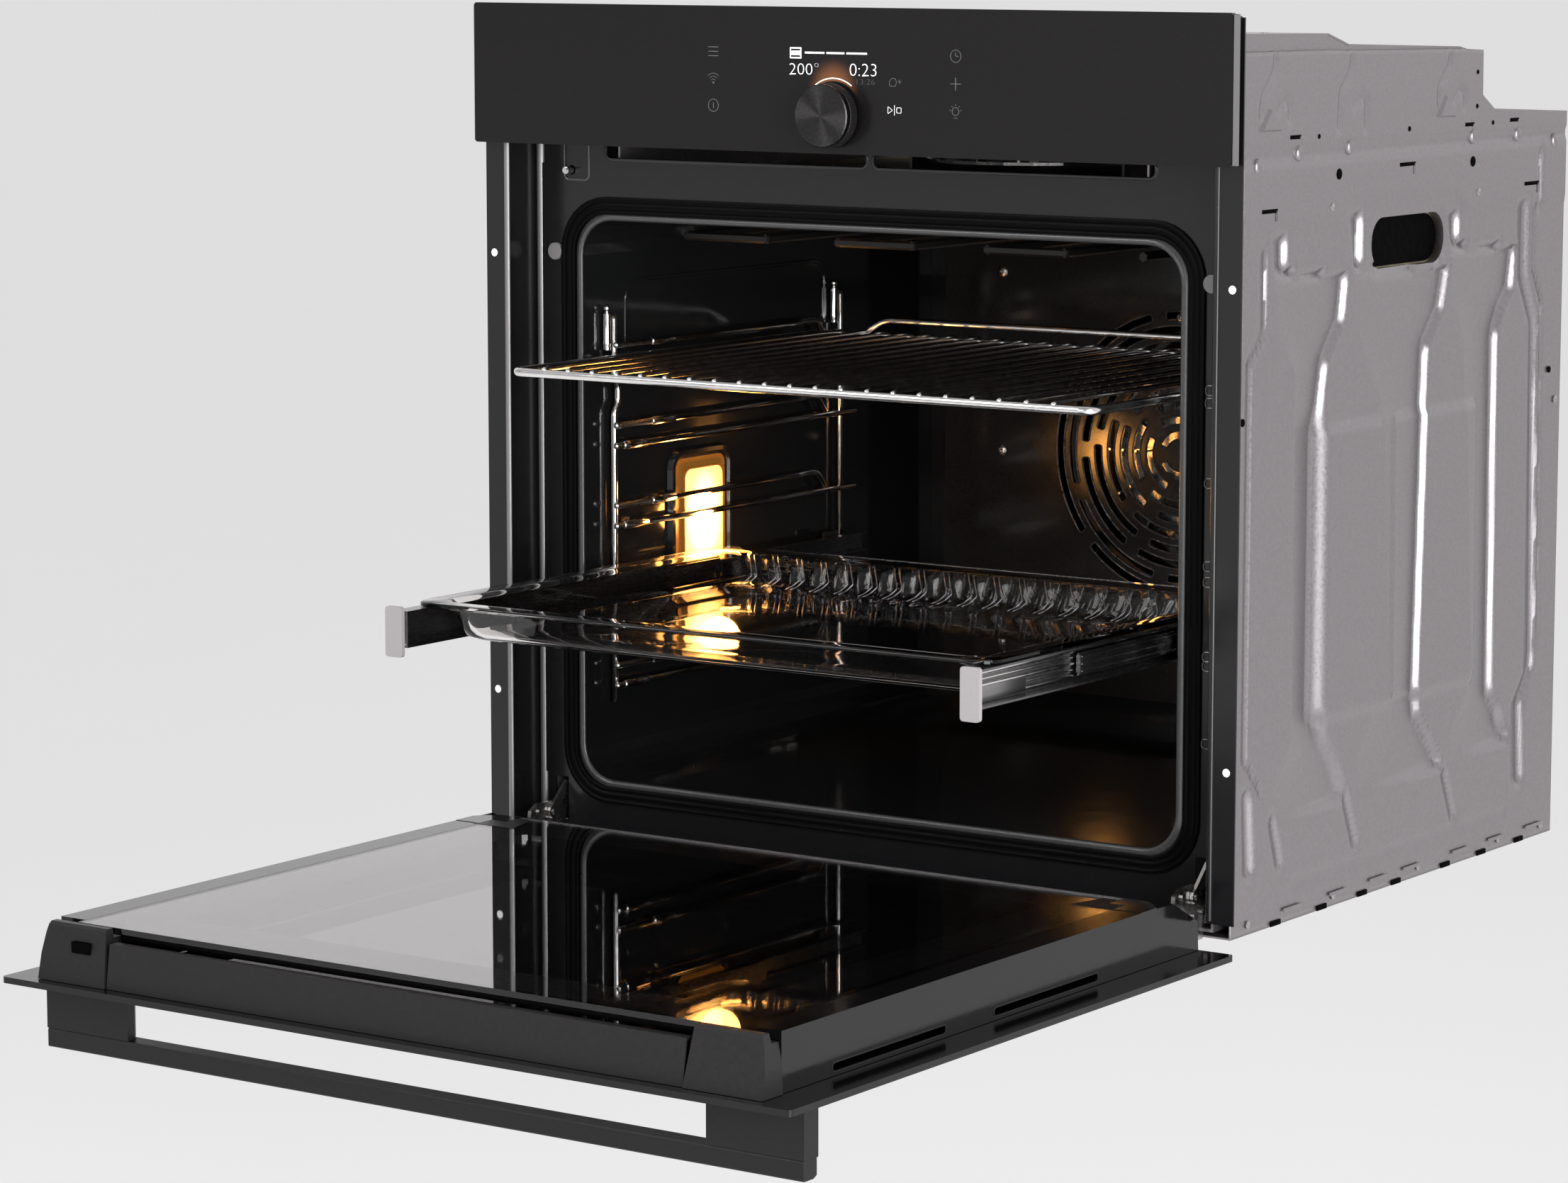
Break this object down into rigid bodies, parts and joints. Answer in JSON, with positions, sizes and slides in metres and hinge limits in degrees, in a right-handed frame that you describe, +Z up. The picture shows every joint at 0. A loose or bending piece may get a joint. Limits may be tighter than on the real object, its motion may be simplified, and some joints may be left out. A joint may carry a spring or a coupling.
{
  "type": "wall oven",
  "caption": "Built-in electric wall oven with a drop-down glass door, round control knob, wire shelf, glass tray on telescopic rails and an enamelled cavity.",
  "frame": {"origin": "middle of the base plate's underside, which rests on the cabinet's shelf", "axes": "+X to the viewer's right seen from the front, +Y back into the cabinet, +Z up; the front faces -Y"},
  "size_m": [0.595, 1.021, 0.6397],
  "materials": {
    "enamel": "glossy black vitreous enamel",
    "frame": "dark grey satin enamel",
    "galvanised": "galvanised sheet, satin",
    "steel": "plain steel",
    "chrome": "chrome plated wire",
    "panel": "dark tinted glass, printed behind",
    "aluminium": "brushed aluminium",
    "anodised": "black anodised, brushed",
    "plastic": "dark grey matte plastic",
    "cap": "light grey satin plastic",
    "rubber": "black silicone",
    "wool": "mineral wool",
    "clear": "clear glass",
    "dark_glass": "black glass",
    "inner_glass": "dark reflective inner glass",
    "lit": "frosted lamp glass, lit",
    "board": "circuit board"
  },
  "bodies": {
    "oven_case": {"front_frame": "frame", "door_gasket": "rubber", "cavity_liner": "enamel", "cavity_back": "enamel", "fan_cover": "enamel", "fan_motor": "steel", "ring_heater": "steel", "grill_element": "steel", "bottom_element": "steel", "lamp_housing": "galvanised", "lamp_cover": "lit", "lamp_bulb": "lit", "insulation": "wool", "side_panel_right": "galvanised", "side_panel_left": "galvanised", "base_plate": "galvanised", "back_panel": "galvanised", "housing_top": "galvanised", "terminal_block": "plastic", "blower_housing": "galvanised", "blower_motor": "steel", "control_panel_glass": "panel", "control_panel_carrier": "aluminium", "display_module": "board", "side_rack_right": "chrome", "side_rack_left": "chrome", "rail_fixed_right": "steel", "rail_fixed_left": "steel", "hinge_arm_right": "steel", "hinge_arm_left": "steel", "hinge_receiver_right": "galvanised", "hinge_receiver_left": "galvanised"},
    "door": {"door_outer_glass": "dark_glass", "door_middle_glass": "clear", "door_inner_glass": "inner_glass", "door_side_profile_right": "frame", "door_side_profile_left": "frame", "door_end_cap_right": "plastic", "door_end_cap_left": "plastic", "door_front_rail": "anodised", "door_rear_rail": "frame", "handle_bar": "anodised", "handle_leg_right": "anodised", "handle_leg_left": "anodised"},
    "tray_carriage": {"glass_tray": "clear", "rail_moving_right": "chrome", "rail_moving_left": "chrome", "rail_cap_right": "cap", "rail_cap_left": "cap"},
    "middle_rail_right": {"rail_middle_right": "steel"},
    "middle_rail_left": {"rail_middle_left": "steel"},
    "shelf": {"wire_shelf": "chrome"},
    "link_right": {"hinge_link_right": "chrome"},
    "link_left": {"hinge_link_left": "chrome"},
    "knob_stem": {"knob_shaft": "steel"},
    "knob_cap": {"knob": "anodised"},
    "fan": {"fan_impeller": "steel"},
    "blower": {"blower_wheel": "steel"},
    "switch_pin": {"door_switch_pin": "steel"}
  },
  "joints": [
    {"name": "door_hinge", "type": "hinge", "parent": "oven_case", "child": "door", "pos_m": [0, -0.26425, 0.0053], "axis": [-1, 0, 0], "range_deg": [0, 90]},
    {"name": "link_right_pivot", "type": "hinge", "parent": "oven_case", "child": "link_right", "pos_m": [0.261, -0.24675, 0.03], "axis": [-1, 0, 0], "range_deg": [0, 50]},
    {"name": "link_left_pivot", "type": "hinge", "parent": "oven_case", "child": "link_left", "pos_m": [-0.255, -0.24675, 0.03], "axis": [-1, 0, 0], "range_deg": [0, 50]},
    {"name": "tray_slide", "type": "slide", "parent": "oven_case", "child": "tray_carriage", "axis": [0, 1, 0], "range_m": [0, 0.24]},
    {"name": "middle_rail_right_slide", "type": "slide", "parent": "oven_case", "child": "middle_rail_right", "axis": [0, 1, 0], "range_m": [0, 0.12]},
    {"name": "middle_rail_left_slide", "type": "slide", "parent": "oven_case", "child": "middle_rail_left", "axis": [0, 1, 0], "range_m": [0, 0.12]},
    {"name": "shelf_slide", "type": "slide", "parent": "oven_case", "child": "shelf", "axis": [0, 1, 0], "range_m": [0, 0.118]},
    {"name": "switch_pin_slide", "type": "slide", "parent": "oven_case", "child": "switch_pin", "axis": [0, 1, 0], "range_m": [0, 0.006]},
    {"name": "knob_press", "type": "slide", "parent": "oven_case", "child": "knob_stem", "axis": [0, 1, 0], "range_m": [0, 0.0015], "stiffness_N_per_m": 1500, "springref_m": -0.0005},
    {"name": "knob_turn", "type": "hinge", "parent": "knob_stem", "child": "knob_cap", "pos_m": [0, -0.28275, 0.5203], "axis": [0, 1, 0], "continuous": true},
    {"name": "fan_spin", "type": "hinge", "parent": "oven_case", "child": "fan", "pos_m": [0, 0.19525, 0.257], "axis": [0, 1, 0], "continuous": true},
    {"name": "blower_spin", "type": "hinge", "parent": "oven_case", "child": "blower", "pos_m": [0, -0.02475, 0.5], "axis": [0, 0, 1], "continuous": true}
  ],
  "couplings": [
    {"joint": "link_right_pivot", "follows": "door_hinge", "ratio": 0.5555},
    {"joint": "link_left_pivot", "follows": "door_hinge", "ratio": 0.5555},
    {"joint": "tray_slide", "follows": "door_hinge", "m_per_rad": 0.15278},
    {"joint": "middle_rail_right_slide", "follows": "door_hinge", "m_per_rad": 0.07639},
    {"joint": "middle_rail_left_slide", "follows": "door_hinge", "m_per_rad": 0.07639},
    {"joint": "shelf_slide", "follows": "door_hinge", "m_per_rad": 0.07512},
    {"joint": "switch_pin_slide", "follows": "door_hinge", "m_per_rad": 0.0038}
  ]
}
